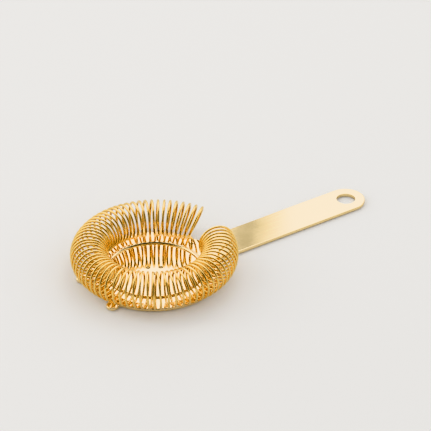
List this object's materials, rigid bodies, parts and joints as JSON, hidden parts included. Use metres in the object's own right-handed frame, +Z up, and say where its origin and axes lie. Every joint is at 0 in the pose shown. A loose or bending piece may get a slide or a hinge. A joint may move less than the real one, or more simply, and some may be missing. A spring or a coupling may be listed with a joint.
{
  "type": "hawthorne strainer",
  "caption": "Flat round strainer plate with a strap handle, hanging hole and rim prongs, carrying an open ring of coil spring that lies on one face and lifts off for washing.",
  "frame": {"origin": "centre of the round plate, on its flat underside, the face it rests on when the spring is up", "axes": "+X along the handle from the plate to the hanging hole, +Z up out of the plate on the spring's side, +Y to the left of the handle"},
  "size_m": [0.1769, 0.0874, 0.0218],
  "materials": {
    "plated_sheet": "stainless sheet, gold-coloured plating, polished to a mirror",
    "plated_wire": "stainless spring wire, gold-coloured plating, bright drawn"
  },
  "bodies": {
    "plate": {"strainer_plate": "plated_sheet"},
    "spring": {"coil_spring": "plated_wire"}
  },
  "joints": [
    {"name": "spring_lift", "type": "slide", "parent": "plate", "child": "spring", "axis": [0, 0, 1], "range_m": [0, 0.03]}
  ]
}
